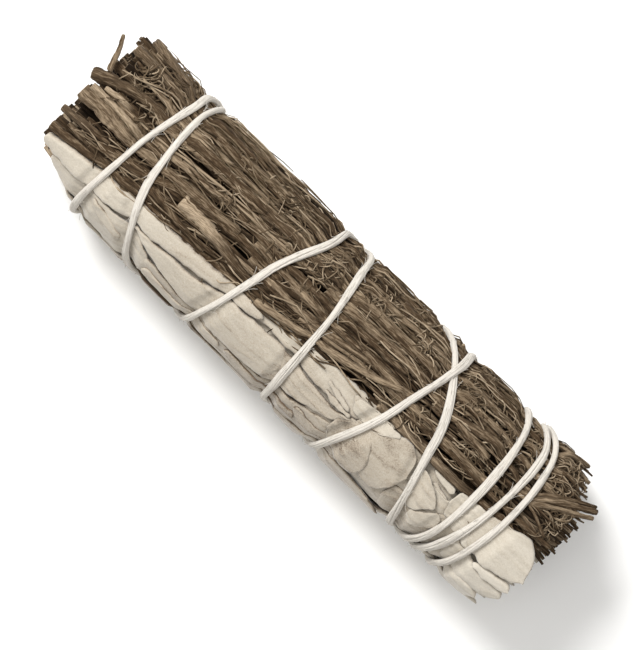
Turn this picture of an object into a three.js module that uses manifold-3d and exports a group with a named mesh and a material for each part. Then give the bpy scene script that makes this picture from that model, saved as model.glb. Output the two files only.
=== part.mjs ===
// A small hand-tied bunch of dried herbs, lying on a table. One half is a woody, needle-leaved
// herb with dark stems, the other half is broad pale sage leaves pressed flat, and one soft
// cotton string is wound down the bunch and back up again, crossing itself, and knotted.
//
// Units are millimetres. +X runs along the bunch from the cut stem ends to the leaf tips, +Y
// points to the dark herb, +Z is up, and the origin is on the table under the middle.

import * as THREE from "three";
import { mergeVertices } from "three/addons/utils/BufferGeometryUtils.js";
import Module from "manifold-3d";

const wasm = await Module();
wasm.setup();

// Driving dimensions

const LENGTH = 105; // longest stem end to furthest tip
const HALF_WIDTH = 14.3; // of the bunch, between two turns of string
const HALF_HEIGHT = 12.2;
const SQUARENESS = 2.4; // exponent of the cross-section, 2 is an ellipse
const PRESSED_FLAT = 0.4; // how far the underside is pressed against the table
const CENTRE_Z = HALF_HEIGHT - PRESSED_FLAT;
const CUT_END = -LENGTH / 2;
const TIP_END = LENGTH / 2;

const STRING_WIDE = 1.8; // the string lies a little flattened
const STRING_HIGH = 1.2;
const TIE_DEPTH = 1.6; // how far the string pulls the soft leaves in
const CLEARANCE = 0.3; // between any two separate pieces

const RING_DEPTH = 6.2; // thickness of the outer layer of sprigs
const HEART_DEPTH = 11.8; // where the inner sprigs end, near the bunch's own axis
const WOODY_CORE_DEPTH = 3.8; // of the close-packed core of an outer sprig, under its loose parts
const LEAFY_CORE_DEPTH = 2.3;
const CORE_MARGIN = 0.5; // between a sprig's core and the room that the sprig has

const DARK_OUTER_SPRIGS = 6;
const DARK_INNER_SPRIGS = 3;
const SAGE_OUTER_SPRIGS = 5;
const SAGE_INNER_SPRIGS = 2;

const BARK = { color: 0x6f604c, roughness: 0.9, metalness: 0 };
const SAGE = { color: 0xc9bfab, roughness: 0.85, metalness: 0 };
const COTTON = { color: 0xece5d8, roughness: 0.95, metalness: 0 };

const radians = THREE.MathUtils.degToRad;
const lerp = THREE.MathUtils.lerp;
const smooth = THREE.MathUtils.smoothstep;
const random = (low, high) => lerp(low, high, THREE.MathUtils.seededRandom());

// The string's route. Each row is one pass over the top of the bunch, as X at its left edge,
// upper left, top, upper right and right edge. Under the bunch it runs straight on to the next
// pass. It starts and ends at the knot, low on the left side near the leaf tips.

const PASSES_OVER_THE_TOP = [
  [30.3, 29.2, 26.4, 20.7, 15.6],
  [2.7, 2.3, 1.7, 0.0, -1.2],
  [-26.5, -30.0, -33.9, -34.8, -33.4],
  [-39.1, -39.5, -38.7, -36.8, -35.6],
  [-15.6, -13.4, -10.8, -6.8, -5.6],
  [12.5, 15.1, 18.7, 21.1, 21.4],
  [33.1, 36.0, 36.8, 35.6, 33.4],
  [35.3, 38.2, 40.3, 39.5, 36.4],
  [38.9, 41.4, 42.9, 41.7, 38.6],
];
const KNOT_X = 31.4;
const KNOT_ANGLE = radians(225);
const KNOT_END = 4.5; // length of the string left beyond the knot, each way
const STATIONS_A_TURN = 8;

const stations = [KNOT_X];
PASSES_OVER_THE_TOP.forEach((pass, i) => {
  const right = pass[pass.length - 1];
  const next = PASSES_OVER_THE_TOP[i + 1];
  const left = next ? next[0] : KNOT_X;
  const stepsBelow = next ? 4 : 3;
  stations.push(...pass);
  for (let j = 1; j <= 3; j++) stations.push(lerp(right, left, j / stepsBelow));
});
const TURNS = (stations.length - 1) / STATIONS_A_TURN;
const routeSpline = new THREE.SplineCurve(
  stations.map((x, i) => new THREE.Vector2(i, x)),
);

// X of the string, and its angle round the bunch, at a number of turns from the knot.
const routeX = (turns) =>
  routeSpline.getPoint(THREE.MathUtils.clamp(turns / TURNS, 0, 1)).y;
const routeAngle = (turns) => KNOT_ANGLE - turns * 2 * Math.PI;

// Distance along X from a point of the surface to the nearest turn of string.
function distanceToString(x, angle) {
  const part = THREE.MathUtils.euclideanModulo(
    (KNOT_ANGLE - angle) / (2 * Math.PI),
    1,
  );
  let nearest = Infinity;
  for (let turn = 0; turn < TURNS; turn++)
    nearest = Math.min(nearest, Math.abs(x - routeX(turn + part)));
  return nearest;
}

// The bunch's own surface

// How the bunch spreads at its two ends: the dark stems splay out past the last turn of string,
// the sage stems are slimmer there, and the leaf tips close in a little.
function swell(x, angle) {
  const atCutEnd = 1 - smooth(x, CUT_END, CUT_END + 15);
  const atTips = smooth(x, TIP_END - 9, TIP_END);
  const side = Math.cos(angle);
  return (
    1 +
    atCutEnd * (side > 0 ? 0.05 * side : 0.15 * side) -
    atTips * (side > 0 ? 0.02 : 0.06)
  );
}

// A point of the bunch at X, at an angle round its axis (0 is +Y, 90 degrees is up), and at a
// depth under its skin. A soft piece is drawn in under the string, a stiff one isn't.
function place(x, angle, depth, soft = false) {
  const bend = (v) => Math.sign(v) * Math.abs(v) ** (2 / SQUARENESS);
  const y = HALF_WIDTH * bend(Math.cos(angle));
  const z = HALF_HEIGHT * bend(Math.sin(angle));
  const reach = Math.hypot(y, z);
  const drawnIn = soft
    ? TIE_DEPTH * (1 - smooth(distanceToString(x, angle), 2.2, 5))
    : 0;
  const share = (reach * swell(x, angle) - drawnIn - depth) / reach;
  return new THREE.Vector3(x, y * share, CENTRE_Z + z * share);
}

// Closed solids

// A three.js geometry as a manifold solid, with its shared vertices merged.
function solidOf(geometry) {
  const plain = geometry.clone();
  plain.deleteAttribute("normal");
  plain.deleteAttribute("uv");
  const merged = mergeVertices(plain, 1e-4);
  return new wasm.Manifold(
    new wasm.Mesh({
      numProp: 3,
      vertProperties: merged.attributes.position.array,
      triVerts: new Uint32Array(merged.index.array),
    }),
  );
}

// Only the main body of a solid: what a fusing cut loose or sealed in is left out.
function mainBody(solid) {
  const bodies = solid.decompose();
  return bodies.reduce((a, b) => (b.volume() > a.volume() ? b : a));
}

const fuse = (solids) => solids.reduce((a, b) => a.add(b));

function meshOf(name, solid, look) {
  const { vertProperties, triVerts } = mainBody(solid).getMesh();
  const geometry = new THREE.BufferGeometry()
    .setAttribute("position", new THREE.BufferAttribute(vertProperties, 3))
    .setIndex(new THREE.BufferAttribute(triVerts, 1));
  geometry.computeVertexNormals();
  const mesh = new THREE.Mesh(geometry, new THREE.MeshStandardMaterial(look));
  mesh.name = name;
  return mesh;
}

// A rod swept along a path of the bunch. path(s) gives [x, angle, depth] for s from 0 to 1,
// and size(s) gives half its width and half its height there.
function rod({ path, size, sides, steps, soft = false }) {
  const at = (s) => place(...path(s), soft);
  const geometry = new THREE.CylinderGeometry(1, 1, 1, sides, steps);
  const position = geometry.attributes.position;
  const nudge = 0.5 / steps;
  for (let i = 0; i < position.count; i++) {
    const s = position.getY(i) + 0.5;
    const [across, up] = size(s);
    const here = at(s);
    const along = at(s + nudge).sub(at(s - nudge)).normalize();
    const outward = here.clone().setX(0).sub(new THREE.Vector3(0, 0, CENTRE_Z));
    const sideways = along.clone().cross(outward).normalize();
    const upward = sideways.clone().cross(along).normalize();
    here.addScaledVector(sideways, position.getX(i) * across);
    here.addScaledVector(upward, position.getZ(i) * up);
    position.setXYZ(i, here.x, here.y, here.z);
  }
  return solidOf(geometry);
}

// A leaf blade that lies in the bunch's skin, bent round it across its whole width.
function blade({ path, width, thick, steps, soft }) {
  const geometry = new THREE.CylinderGeometry(1, 1, 1, 6, steps);
  const position = geometry.attributes.position;
  for (let i = 0; i < position.count; i++) {
    const s = position.getY(i) + 0.5;
    const [x, angle, depth] = path(s);
    const across = (position.getX(i) * width(s)) / 2;
    const up = (position.getZ(i) * thick) / 2;
    const point = place(x, angle + across / HALF_WIDTH, depth - up, soft);
    position.setXYZ(i, point.x, point.y, point.z);
  }
  return solidOf(geometry);
}

// A block between two walls of the bunch and two depths, kept a margin clear of both walls.
// walls(x) gives the two angles.
function sector({ from, to, walls, shallow, deep, margin, steps }) {
  const geometry = new THREE.BoxGeometry(1, 1, 1, steps, 2, 1);
  const position = geometry.attributes.position;
  for (let i = 0; i < position.count; i++) {
    const x = lerp(from, to, position.getX(i) + 0.5);
    const depth = lerp(deep, shallow, position.getZ(i) + 0.5);
    const inset = margin / (HALF_HEIGHT - depth + 0.5);
    const [a, b] = walls(x);
    const angle = lerp(b - inset, a + inset, position.getY(i) + 0.5);
    const point = place(x, angle, depth);
    position.setXYZ(i, point.x, point.y, point.z);
  }
  return solidOf(geometry);
}

// The table side: everything below it is pressed flat.
const aboveTable = solidOf(
  new THREE.BoxGeometry(2 * LENGTH, 6 * HALF_WIDTH, 6 * HALF_HEIGHT).translate(
    0,
    0,
    3 * HALF_HEIGHT,
  ),
);

// Where the two herbs meet

// On top the seam runs at a slant, as the dark herb takes more of the width at its cut end.
const seamOnTop = (x) => radians(104 - 0.23 * x);
const seamBelow = (x) => radians(-91 - 0.05 * x);

// A wall between two neighbouring sprigs, which both of them share.
function wallsBetween(first, last, count, index) {
  const wall = (i, x) => {
    const waver = i > 0 && i < count ? radians(2.6) : 0;
    const drift = Math.sin(x / 13 + i * 2.1) * waver;
    return lerp(first(x), last(x), i / count) + drift;
  };
  return (x) => [wall(index, x), wall(index + 1, x)];
}

const darkWalls = (count, i) => wallsBetween(seamBelow, seamOnTop, count, i);
const sageWalls = (count, i) =>
  wallsBetween(seamOnTop, (x) => seamBelow(x) + 2 * Math.PI, count, i);

// An angle within a sprig: 0 is its middle, and -1 and 1 are its two walls.
function angleIn(walls, x, share) {
  const [a, b] = walls(x);
  return (a + b) / 2 + (share * (b - a)) / 2;
}

// The woody herb

// A woody stem from its cut end to where it dives into the core, with a slight wander and
// swollen where side twigs left it. Its depth is that of its upper side.
function woodyStem(walls, { from, to, share, drift, radius, depth, steps }) {
  const phase = random(0, 6);
  return rod({
    path: (s) => {
      const x = lerp(from, to, s);
      const wander = 0.1 * Math.sin(phase + x / 9);
      const dive = 2.2 * smooth(s, 0.8, 1);
      const angle = angleIn(walls, x, share + drift * s + wander);
      return [x, angle, depth + 1.1 * radius + dive];
    },
    size: (s) => {
      const r = radius * (1 - 0.35 * s) * (1 + 0.1 * Math.sin(phase + 17 * s));
      return [r, r];
    },
    sides: 5,
    steps,
  });
}

// A fine twig that leaves the core of the sprig at a shallow angle and then runs in its skin.
function fineTwig(walls, { from, reach, share, deep, shallow }) {
  const drift = random(-0.18, 0.18);
  const radius = random(0.4, 0.55);
  return rod({
    path: (s) => {
      const x = from + reach * s;
      const depth = lerp(deep, shallow, smooth(s, 0, 0.4));
      return [x, angleIn(walls, x, share + drift * s), depth];
    },
    size: (s) => [radius * (1 - 0.3 * s), radius * (1 - 0.3 * s)],
    sides: 4,
    steps: 3,
  });
}

// A dry needle leaf, rooted in the core and curling out to the skin between turns of string.
function needle(walls, x0, share) {
  const curl = random(-0.4, 0.4);
  const reach = random(4, 8);
  return rod({
    path: (s) => {
      const x = x0 + reach * (s - 0.5);
      const depth = lerp(WOODY_CORE_DEPTH + 0.5, 0.45, Math.sin(2.2 * s));
      return [x, angleIn(walls, x, share + curl * s * s), depth];
    },
    size: () => [0.36, 0.36],
    sides: 3,
    steps: 3,
    soft: true,
  });
}

const LANES = [0.02, -0.78, 0.78, 0.05]; // between a sprig's stems, where its needles grow

function darkSprig(index) {
  const walls = darkWalls(DARK_OUTER_SPRIGS, index);
  const side = Math.abs(Math.cos(angleIn(walls, 0, 0)));
  const core = sector({
    from: CUT_END + 12,
    to: TIP_END - 9,
    walls,
    shallow: WOODY_CORE_DEPTH,
    deep: RING_DEPTH - CORE_MARGIN,
    margin: CORE_MARGIN,
    steps: 5,
  });
  const stems = [-0.45, 0.45].map((share) =>
    woodyStem(walls, {
      from: CUT_END + 0.2 + random(0, 4),
      to: random(8, TIP_END - 12),
      share: share + random(-0.08, 0.08),
      drift: random(-0.1, 0.1),
      radius: random(0.85, 1.2),
      depth: TIE_DEPTH,
      steps: 7,
    }),
  );
  const twigs = [-30, -4, 21].map((x, i) =>
    fineTwig(walls, {
      from: x + random(-2, 2),
      reach: random(15, 20),
      share: [-0.8, 0.02, 0.8][i],
      deep: WOODY_CORE_DEPTH + 0.5,
      shallow: TIE_DEPTH + 0.5,
    }),
  );
  const tips = [-0.6, 0.05, 0.6].map((share, i) =>
    fineTwig(walls, {
      from: TIP_END - 13 - random(0, 1.5),
      reach: 11 + random(0, 2) - 2.5 * side,
      share,
      deep: WOODY_CORE_DEPTH + 0.9,
      shallow: TIE_DEPTH + 0.8 + (i % 2),
    }),
  );
  const needles = [];
  for (let x = CUT_END + 8; x < TIP_END - 6; x += 7.5) {
    const at = x + random(-1.5, 1.5);
    if (distanceToString(at, angleIn(walls, at, 0)) > 4.2)
      needles.push(needle(walls, at, LANES[needles.length % LANES.length]));
  }
  return { walls, solids: [core, ...stems, ...twigs, ...tips, ...needles] };
}

function innerDarkSprig(index) {
  const walls = darkWalls(DARK_INNER_SPRIGS, index);
  const shallow = RING_DEPTH + CLEARANCE;
  const core = sector({
    from: CUT_END + 13,
    to: TIP_END - 8,
    walls,
    shallow: shallow + CORE_MARGIN,
    deep: HEART_DEPTH - CORE_MARGIN,
    margin: CORE_MARGIN,
    steps: 4,
  });
  const stems = [-0.45, 0.05, 0.5].map((share, i) =>
    woodyStem(walls, {
      from: CUT_END + 1 + random(0, 3),
      to: CUT_END + 16,
      share,
      drift: 0,
      radius: random(0.9, 1.2),
      depth: shallow + 0.4 + 1.1 * (i % 2),
      steps: 3,
    }),
  );
  const tips = [-0.5, 0, 0.5].map((share, i) =>
    fineTwig(walls, {
      from: TIP_END - 11,
      reach: random(6, 9.5),
      share,
      deep: shallow + 2.2,
      shallow: shallow + 0.8 + (i % 2),
    }),
  );
  return { walls, solids: [core, ...stems, ...tips] };
}

// The pale sage

// Half the outline of a sage leaf along its length: a slim foot, a full middle and a blunt tip.
const leafOutline = (s) =>
  Math.max(0.16, Math.sin(Math.PI * Math.min(1, 0.12 + 0.86 * s)) ** 0.55);

// A leaf whose foot is sunk in the sprig's core and whose blade comes up from there. An outer
// leaf lies in the bunch's soft skin, over the foot of the next leaf along.
function sageLeaf(walls, { from, reach, share, width, lift, sunk, soft }) {
  const phase = random(0, 6);
  return blade({
    path: (s) => {
      const x = from + reach * s;
      const angle = angleIn(walls, x, share + 0.1 * Math.sin(phase + 3 * s));
      return [x, angle, lift + sunk * (1 - smooth(s, 0, 0.35))];
    },
    width: (s) => width * leafOutline(s) * (1 + 0.06 * Math.sin(phase + 15 * s)),
    thick: 0.8,
    steps: soft ? 8 : 4,
    soft,
  });
}

function sageSprig(index) {
  const walls = sageWalls(SAGE_OUTER_SPRIGS, index);
  const side = Math.abs(Math.cos(angleIn(walls, 0, 0)));
  const core = sector({
    from: CUT_END + 9,
    to: TIP_END - 8,
    walls,
    shallow: LEAFY_CORE_DEPTH,
    deep: RING_DEPTH - CORE_MARGIN,
    margin: CORE_MARGIN,
    steps: 5,
  });
  const stem = woodyStem(walls, {
    from: CUT_END + 1.5 + random(0, 3),
    to: CUT_END + 14,
    share: random(-0.2, 0.2),
    drift: 0,
    radius: 1.3,
    depth: TIE_DEPTH + 0.9,
    steps: 3,
  });
  const leaves = [];
  for (const [from, reach] of [
    [CUT_END + 7, 36],
    [-22, 34],
    [2, 32],
    [TIP_END - 33, 31],
  ])
    leaves.push(
      sageLeaf(walls, {
        from: from + random(-2.5, 2.5) - (from > 10 ? 3 * side : 0),
        reach,
        share: random(-0.08, 0.08),
        width: random(6.6, 7.4),
        lift: 0.45,
        sunk: 3,
        soft: true,
      }),
    );
  const innerTip = sageLeaf(walls, {
    from: TIP_END - 14,
    reach: 12 - 2 * side,
    share: random(-0.2, 0.2),
    width: 5.4,
    lift: 3.2,
    sunk: 1.2,
    soft: false,
  });
  return { walls, solids: [core, stem, ...leaves, innerTip] };
}

function innerSageSprig(index) {
  const walls = sageWalls(SAGE_INNER_SPRIGS, index);
  const shallow = RING_DEPTH + CLEARANCE;
  const core = sector({
    from: CUT_END + 11,
    to: TIP_END - 7,
    walls,
    shallow: shallow + CORE_MARGIN,
    deep: HEART_DEPTH - CORE_MARGIN,
    margin: CORE_MARGIN,
    steps: 4,
  });
  const stem = woodyStem(walls, {
    from: CUT_END + 3 + random(0, 2),
    to: CUT_END + 15,
    share: random(-0.2, 0.2),
    drift: 0,
    radius: 1.5,
    depth: shallow + 0.3,
    steps: 3,
  });
  const tips = [-0.35, 0.35].map((share) =>
    sageLeaf(walls, {
      from: TIP_END - 14,
      reach: 12.5,
      share,
      width: 5,
      lift: shallow + 1.2,
      sunk: 0.8,
      soft: false,
    }),
  );
  return { walls, solids: [core, stem, ...tips] };
}

// The string

// The string, or the room that it needs with a clearance all round it. Each of its turns is
// joined to the next, and to those that it crosses. An overhand knot ties its two ends, which
// run on a little beyond it.
function tiedString(clearance) {
  const depth = TIE_DEPTH - CLEARANCE - STRING_HIGH / 2;
  const across = STRING_WIDE / 2 + clearance;
  const up = STRING_HIGH / 2 + clearance;
  const turns = Array.from({ length: TURNS }, (_, turn) =>
    rod({
      path: (s) => [routeX(turn + s), routeAngle(turn + s), depth],
      size: () => [across, up],
      sides: 6,
      steps: 14,
    }),
  );
  const knot = new THREE.TorusKnotGeometry(0.95, 0.62 + clearance, 18, 4, 2, 3);
  knot.scale(1.25, 1.0, 0.8);
  knot.rotateX(KNOT_ANGLE - radians(90));
  knot.translate(...place(KNOT_X, KNOT_ANGLE, -0.5));
  const ends = [-1, 1].map((way) =>
    rod({
      path: (s) => [
        KNOT_X + way * KNOT_END * s,
        KNOT_ANGLE + radians(6 * way - 10 * s),
        depth - 0.5,
      ],
      size: () => [up, up],
      sides: 5,
      steps: 3,
    }),
  );
  return fuse([...turns, solidOf(knot), ...ends]).intersect(aboveTable);
}

const stringRoom = tiedString(CLEARANCE / 2);

// Fuses a sprig's pieces and keeps them between its own walls, clear of its neighbours and of
// the string.
function keptInPlace({ walls, solids }, shallow, deep) {
  const room = sector({
    from: 1.1 * CUT_END,
    to: 1.1 * TIP_END,
    walls,
    shallow,
    deep,
    margin: CLEARANCE / 2,
    steps: 12,
  });
  return fuse(solids)
    .intersect(room)
    .intersect(aboveTable)
    .subtract(stringRoom);
}

// The whole bunch

const bunch = new THREE.Group();

for (let i = 0; i < DARK_OUTER_SPRIGS; i++) {
  THREE.MathUtils.seededRandom(100 + i);
  const solid = keptInPlace(darkSprig(i), 0, RING_DEPTH);
  bunch.add(meshOf(`dark_sprig_${i + 1}`, solid, BARK));
}
for (let i = 0; i < DARK_INNER_SPRIGS; i++) {
  THREE.MathUtils.seededRandom(200 + i);
  const solid = keptInPlace(
    innerDarkSprig(i),
    RING_DEPTH + CLEARANCE,
    HEART_DEPTH,
  );
  bunch.add(meshOf(`dark_inner_sprig_${i + 1}`, solid, BARK));
}
for (let i = 0; i < SAGE_OUTER_SPRIGS; i++) {
  THREE.MathUtils.seededRandom(300 + i);
  const solid = keptInPlace(sageSprig(i), 0, RING_DEPTH);
  bunch.add(meshOf(`sage_sprig_${i + 1}`, solid, SAGE));
}
for (let i = 0; i < SAGE_INNER_SPRIGS; i++) {
  THREE.MathUtils.seededRandom(400 + i);
  const solid = keptInPlace(
    innerSageSprig(i),
    RING_DEPTH + CLEARANCE,
    HEART_DEPTH,
  );
  bunch.add(meshOf(`sage_inner_sprig_${i + 1}`, solid, SAGE));
}

bunch.add(meshOf("cotton_string", tiedString(0), COTTON));

export default bunch;
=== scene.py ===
import math

import bmesh
import bpy
import numpy as np
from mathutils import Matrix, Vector, noise


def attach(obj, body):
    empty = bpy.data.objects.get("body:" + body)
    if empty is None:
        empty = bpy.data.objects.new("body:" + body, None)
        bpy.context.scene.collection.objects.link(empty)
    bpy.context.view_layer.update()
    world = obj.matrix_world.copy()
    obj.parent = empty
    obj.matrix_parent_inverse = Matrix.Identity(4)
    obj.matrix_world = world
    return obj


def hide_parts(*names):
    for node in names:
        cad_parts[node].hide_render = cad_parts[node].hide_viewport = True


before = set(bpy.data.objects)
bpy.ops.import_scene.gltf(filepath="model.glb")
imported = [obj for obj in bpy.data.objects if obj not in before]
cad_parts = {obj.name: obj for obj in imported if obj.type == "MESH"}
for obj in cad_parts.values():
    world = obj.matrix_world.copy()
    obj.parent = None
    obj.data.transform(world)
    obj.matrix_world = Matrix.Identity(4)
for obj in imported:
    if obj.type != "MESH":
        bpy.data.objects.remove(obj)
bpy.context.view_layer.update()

# The photograph looks straight down on the bunch, which lies across it from corner to corner
# with its leaf tips at the lower right. A long lens, well above it, keeps it in proportion.
MM = 0.001
PIXEL = 0.156 * MM  # one pixel of the photograph, measured on the bunch
PHOTO_TALL = 650
BUNCH_TURNED = math.radians(44.557)  # clockwise in the photograph
CAMERA_HEIGHT = 1.6
WIDEST_HEIGHT = 12 * MM  # where the bunch's outline is seen

camera_data = bpy.data.cameras.new("camera")
camera_data.sensor_fit = "VERTICAL"
camera_data.sensor_height = 24
camera_data.lens = 24 * (CAMERA_HEIGHT - WIDEST_HEIGHT) / (PHOTO_TALL * PIXEL)
camera = bpy.data.objects.new("camera", camera_data)
photo_right = Vector((math.cos(BUNCH_TURNED), math.sin(BUNCH_TURNED), 0))
photo_up = Vector((-math.sin(BUNCH_TURNED), math.cos(BUNCH_TURNED), 0))
camera.location = 4.1 * PIXEL * photo_right - 2.0 * PIXEL * photo_up
camera.location.z = CAMERA_HEIGHT
camera.rotation_euler = (0, 0, BUNCH_TURNED)
bpy.context.collection.objects.link(camera)
bpy.context.scene.camera = camera

# A plain pale floor, as white as the photograph's background, lit by one broad soft lamp from
# the photograph's upper left and by a pale room all round.
FLOOR_SIZE = 1.6
bm = bmesh.new()
bmesh.ops.create_grid(bm, x_segments=1, y_segments=1, size=FLOOR_SIZE / 2)
bmesh.ops.translate(bm, verts=bm.verts, vec=(0, 0, -0.05 * MM))
floor_mesh = bpy.data.meshes.new("floor")
bm.to_mesh(floor_mesh)
bm.free()
floor = bpy.data.objects.new("floor", floor_mesh)
bpy.context.collection.objects.link(floor)
floor_finish = bpy.data.materials.new("pale_floor")
floor_finish.use_nodes = True
floor_shader = floor_finish.node_tree.nodes["Principled BSDF"]
floor_shader.inputs["Base Color"].default_value = (0.93, 0.925, 0.91, 1)
floor_shader.inputs["Roughness"].default_value = 0.8
floor.data.materials.append(floor_finish)


def soft_lamp(name, place, size, watts):
    """A square lamp that faces the bunch."""
    lamp = bpy.data.lights.new(name, "AREA")
    lamp.size = size
    lamp.energy = watts
    holder = bpy.data.objects.new(name, lamp)
    holder.location = place
    holder.rotation_euler = (-Vector(place)).to_track_quat("-Z", "Y").to_euler()
    bpy.context.collection.objects.link(holder)


key_side = -0.16 * photo_right + 0.36 * photo_up
soft_lamp("key_lamp", (key_side.x, key_side.y, 0.5), 0.26, 5.2)
soft_lamp("fill_lamp", (-0.4 * key_side.x, -0.4 * key_side.y, 0.62), 0.7, 2.2)
world = bpy.data.worlds.new("pale_room")
world.use_nodes = True
world.node_tree.nodes["Background"].inputs["Color"].default_value = (1, 0.985, 0.96, 1)
world.node_tree.nodes["Background"].inputs["Strength"].default_value = 0.33
bpy.context.scene.world = world
bpy.context.scene.view_settings.view_transform = "Standard"

# The woody herb inside the bunch: three sprigs of dark stems, packed side by side round its
# middle. They are cut off at one end of the bunch and end in ragged twigs at the other.
CUT_END, TIP_END = -52.5, 52.5  # in millimetres, as the bunch's sizes below
HALF_WIDTH, HALF_HEIGHT = 14.3, 12.2
SQUARENESS = 2.4  # of the bunch's cross-section, where 2 is an ellipse
CENTRE_Z = HALF_HEIGHT - 0.4
TIE_DEPTH = 1.6  # how far the string draws soft pieces in
HELD_DEPTH = 0.75  # how deep every piece is at least, under the string
DARK_INNER, DARK_OUTER, SAGE_INNER, SAGE_OUTER = 3, 6, 2, 5

# The string's passes over the top, as X at the left edge, upper left, top, upper right and
# right edge. Beneath, it runs straight on to the next pass.
PASSES = [
    (30.3, 29.2, 26.4, 20.7, 15.6),
    (2.7, 2.3, 1.7, 0.0, -1.2),
    (-26.5, -30.0, -33.9, -34.8, -33.4),
    (-39.1, -39.5, -38.7, -36.8, -35.6),
    (-15.6, -13.4, -10.8, -6.8, -5.6),
    (12.5, 15.1, 18.7, 21.1, 21.4),
    (33.1, 36.0, 36.8, 35.6, 33.4),
    (35.3, 38.2, 40.3, 40.0, 37.0),
    (38.9, 41.4, 42.9, 41.7, 38.6),
]
KNOT_X, KNOT_ANGLE = 31.4, math.radians(225)
stations = [KNOT_X]
for i, over in enumerate(PASSES):
    next_left = PASSES[i + 1][0] if i + 1 < len(PASSES) else KNOT_X
    steps = 4 if i + 1 < len(PASSES) else 3
    stations += over
    stations += [over[-1] + (next_left - over[-1]) * j / steps for j in (1, 2, 3)]
stations = np.array(stations)
TURNS = (len(stations) - 1) // 8


def ease(value, low, high):
    """0 below low, 1 above high, and a smooth rise between."""
    t = np.clip((np.asarray(value, float) - low) / (high - low), 0, 1)
    return t * t * (3 - 2 * t)


def smooth(a, b, c, d, t):
    """A smooth curve from b to c as t goes from 0 to 1, on its way from a to d."""
    bend = 2 * a - 5 * b + 4 * c - d + t * (3 * (b - c) + d - a)
    return b + 0.5 * t * (c - a + t * bend)


def route_x(turns):
    """X of the string at a number of turns from its knot, on a smooth curve."""
    along = np.clip(np.asarray(turns) / TURNS, 0, 1) * (len(stations) - 1)
    i = np.minimum(along.astype(int), len(stations) - 2)
    near = (stations[np.clip(i + k, 0, len(stations) - 1)] for k in (-1, 0, 1, 2))
    return smooth(*near, along - i)


def gap_to_string(x, angle):
    """How far along X the nearest turn of string is."""
    part = np.mod((KNOT_ANGLE - angle) / (2 * math.pi), 1)
    return np.min([np.abs(x - route_x(turn + part)) for turn in range(TURNS)], axis=0)


def skin(angle):
    """Y and Z of the cross-section, from its middle."""
    c, s = np.cos(angle), np.sin(angle)
    power = 2 / SQUARENESS
    return (
        HALF_WIDTH * np.sign(c) * np.abs(c) ** power,
        HALF_HEIGHT * np.sign(s) * np.abs(s) ** power,
    )


def lay(x, angle, depth, soft=0.0, below=0.0, held=True):
    """Points in metres of a piece laid by its X, its angle round the bunch (0 is the dark
    side, 90 degrees is up) and its depth under the bunch's skin. Pieces are held under the
    string, soft ones drawn in further, and the bunch is pressed flat where it lies on the
    table, with below under each point."""
    x, angle, depth = np.broadcast_arrays(x, angle, depth)
    y, z = skin(angle)
    reach = np.hypot(y, z)
    side = np.cos(angle)
    at_cut_end = 1 - ease(x, CUT_END, CUT_END + 15)
    at_tips = ease(x, TIP_END - 9, TIP_END)
    swell = 1 + at_cut_end * np.where(side > 0, 0.05, 0.15) * side
    swell -= at_tips * np.where(side > 0, 0.02, 0.06)
    gap = gap_to_string(x, angle)
    depth = depth + soft * TIE_DEPTH * (1 - ease(gap, 0.5, 2.8))
    if held:
        lacking = np.maximum(HELD_DEPTH + below - depth, 0)
        depth = depth + lacking * (1 - ease(gap, 1.0, 2.6))
    share = (reach * swell - depth) / reach
    high = CENTRE_Z + z * share - below - 0.02
    high = below + 0.02 + 0.15 * np.log1p(np.exp(np.minimum(high / 0.15, 200)))
    return np.stack([x, y * share, high], axis=-1) * MM


def seam_on_top(x):
    return np.radians(104 - 0.23 * x)


def seam_below(x):
    return np.radians(-91 - 0.05 * x)


def across_sprig(herb, count, i, x, share):
    """The angle in a sprig at X: share 0 is its middle, -1 and 1 its two sides."""
    if herb == "dark":
        first, last = seam_below(x), seam_on_top(x)
    else:
        first, last = seam_on_top(x), seam_below(x) + 2 * math.pi
    a, b = (
        first
        + (last - first) * k / count
        + (math.radians(2.6) * np.sin(x / 13 + k * 2.1) if 0 < k < count else 0)
        for k in (i, i + 1)
    )
    return (a + b) / 2 + share * (b - a) / 2


def wander(s, rng, size, waves):
    """A smooth random drift along a piece."""
    total = np.zeros_like(s)
    for k in range(1, waves + 1):
        total += rng.normal() / k * np.sin(2 * math.pi * (0.45 * k * s + rng.random()))
    return size * total


def ring_outline(name, sides, roughness, seed):
    """The cross-section of a stem or fibre, with ridges of dried bark."""
    rng = np.random.default_rng(seed)
    outline = bpy.data.curves.new(name, "CURVE")
    outline.dimensions = "2D"
    ring = outline.splines.new("POLY")
    ring.points.add(sides - 1)
    for k, point in enumerate(ring.points):
        turn = 2 * math.pi * k / sides
        r = 1 + roughness * rng.normal()
        point.co = (r * math.cos(turn), -r * math.sin(turn), 0, 1)
    ring.use_cyclic_u = True
    return bpy.data.objects.new(name, outline)


def distance_along(points):
    """How far each point is along a line of points."""
    steps = np.linalg.norm(np.diff(points, axis=0), axis=1)
    return np.concatenate([[0], np.cumsum(steps)])


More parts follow.
